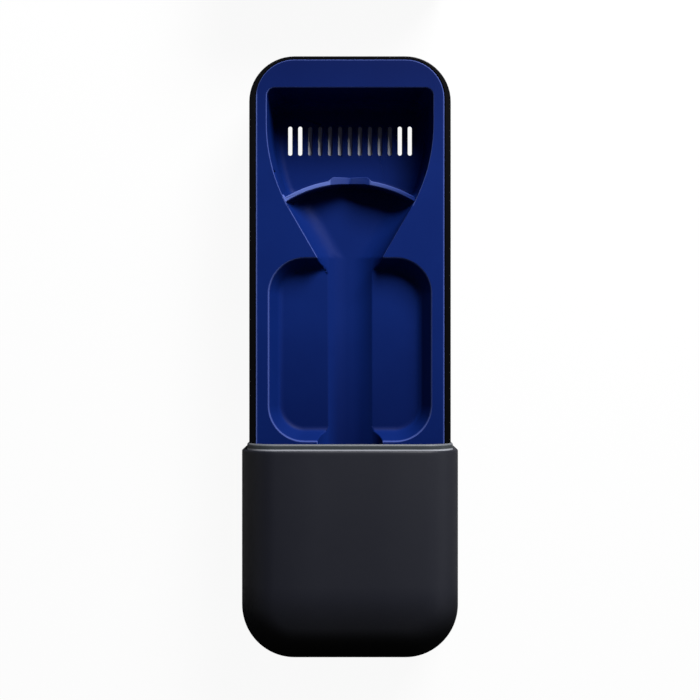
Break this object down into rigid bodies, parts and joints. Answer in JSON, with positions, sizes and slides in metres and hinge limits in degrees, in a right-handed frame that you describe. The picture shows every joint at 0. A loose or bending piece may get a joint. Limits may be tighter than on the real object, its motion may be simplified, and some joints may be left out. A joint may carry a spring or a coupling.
{
  "type": "razor storage box",
  "caption": "Slim two-part travel case for one razor: a black pull-off lid, a charcoal base, and a blue tray with a vented head pocket and a handle channel.",
  "frame": {"origin": "middle of the base's flat back face, on which the box lies", "axes": "+X across the box, +Y along it from the foot to the tip, +Z out of its front"},
  "size_m": [0.063, 0.3188, 0.036],
  "materials": {
    "lid_plastic": "fine satin",
    "base_soft_touch": "soft-touch matt",
    "liner_plastic": "satin",
    "back_shell_plastic": "satin",
    "baffle_plastic": "bare",
    "tray_plastic": "satin"
  },
  "bodies": {
    "base": {"base_shell": "base_soft_touch", "base_liner": "liner_plastic", "back_shell": "back_shell_plastic", "vent_baffle": "baffle_plastic", "razor_tray": "tray_plastic"},
    "lid": {"lid_shell": "lid_plastic"}
  },
  "joints": [
    {"name": "lid_slide", "type": "slide", "parent": "base", "child": "lid", "axis": [0, -1, 0], "range_m": [0, 0.142]}
  ]
}
